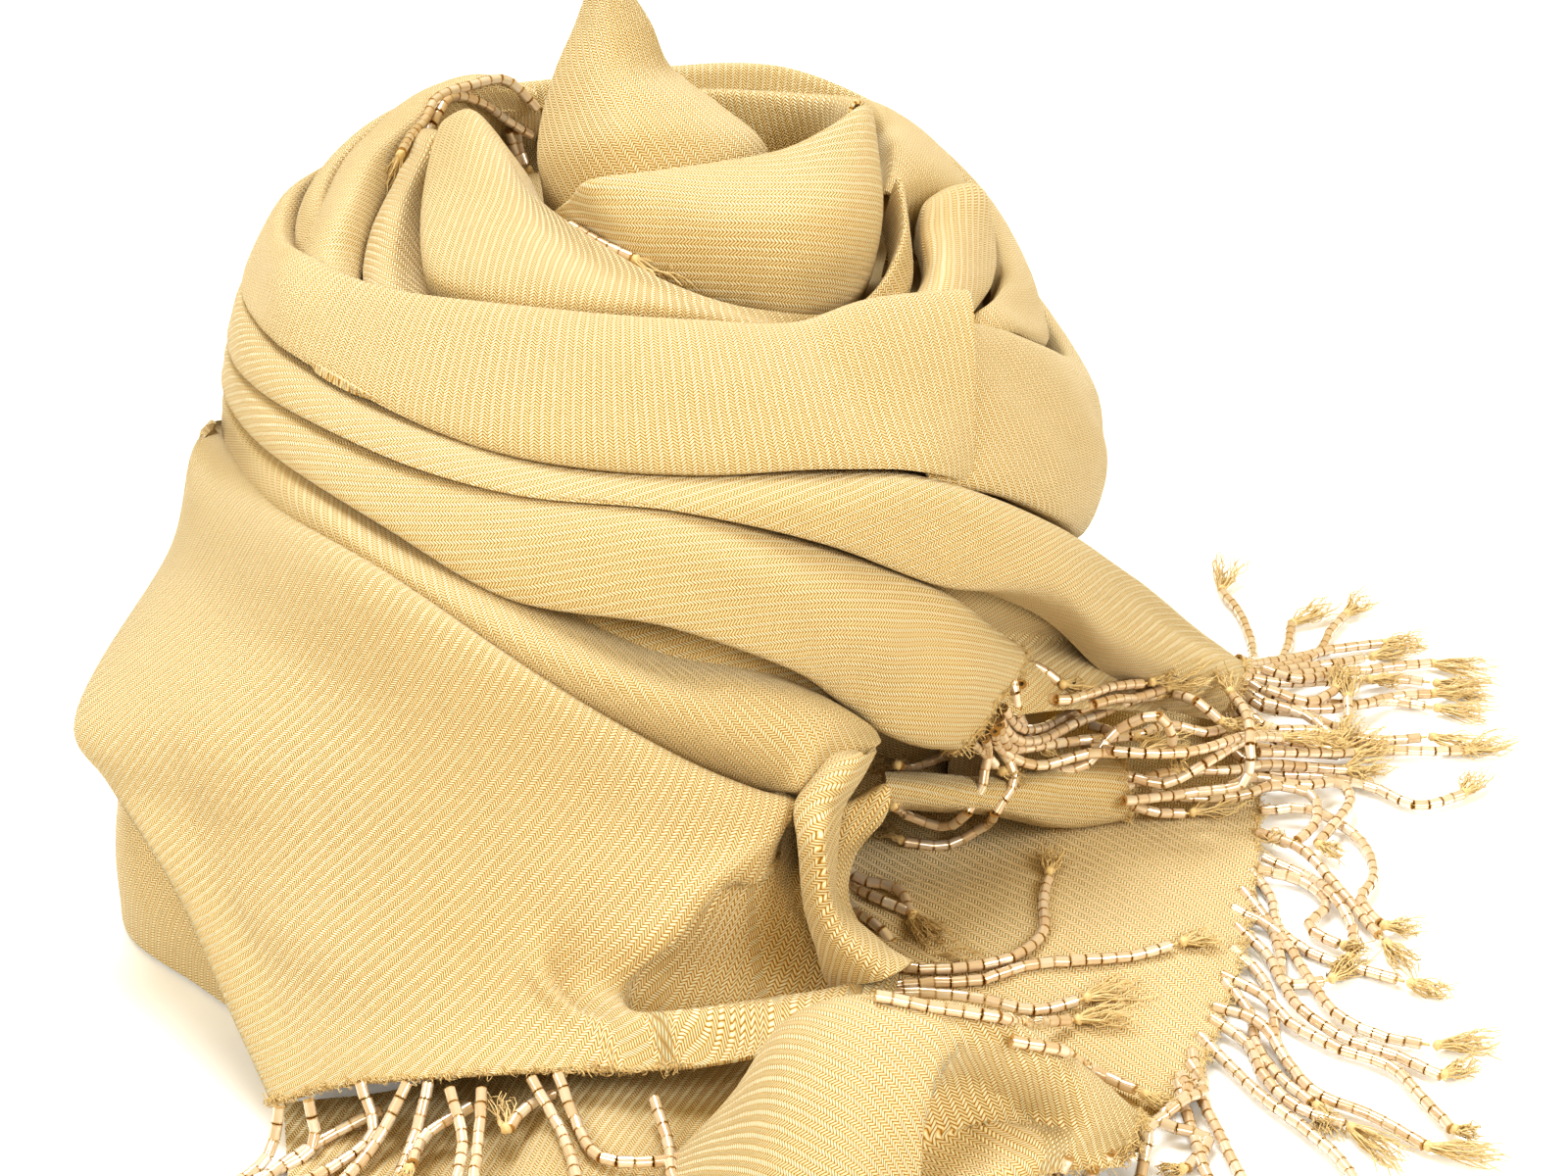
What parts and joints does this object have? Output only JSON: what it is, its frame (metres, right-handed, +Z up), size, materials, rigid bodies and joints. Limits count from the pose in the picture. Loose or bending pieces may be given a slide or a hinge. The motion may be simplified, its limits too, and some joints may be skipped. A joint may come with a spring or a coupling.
{
  "type": "fringed shawl",
  "caption": "Pale gold twill shawl wound into a rose-shaped heap, its ends spread in front and to the right, with long beaded fringes.",
  "frame": {"origin": "the middle of the flat underside of the hidden layers, on the table", "axes": "+Z up from the table; -Y towards the front flap and the camera; +X towards the right-hand fringes"},
  "size_m": [0.3139, 0.3442, 0.1725],
  "materials": {
    "cloth": "fine herringbone twill with a soft silky sheen, pale gold",
    "hidden_cloth": "the same twill, in the shade of the folds",
    "beads": "silver-lined champagne glass tube beads on gold thread, with frayed thread tufts"
  },
  "bodies": {
    "root": {"hidden_layers": "hidden_cloth", "wide_band": "cloth", "right_band": "cloth", "upper_band": "cloth", "middle_band": "cloth", "rolled_band": "cloth", "inner_fold": "cloth", "front_flap": "cloth", "left_underlayer": "cloth", "right_underlayer": "cloth", "floor_layer": "cloth", "small_roll": "cloth", "under_hem_layer": "cloth", "foreground_flap": "cloth", "outer_ring": "cloth", "inner_ring": "cloth", "left_fold_outer": "cloth", "left_fold_inner": "cloth", "ring_fold": "cloth", "left_petal": "cloth", "front_petal": "cloth", "inner_petal": "cloth", "tip_petal": "cloth", "fringe_upper": "beads", "fringe_upper_inner": "beads", "fringe_floor": "beads", "fringe_middle": "beads", "fringe_small_roll": "beads", "fringe_flap_right": "beads", "fringe_hem": "beads", "fringe_hem_left": "beads", "fringe_foreground": "beads", "fringe_top_left": "beads"}
  },
  "joints": []
}
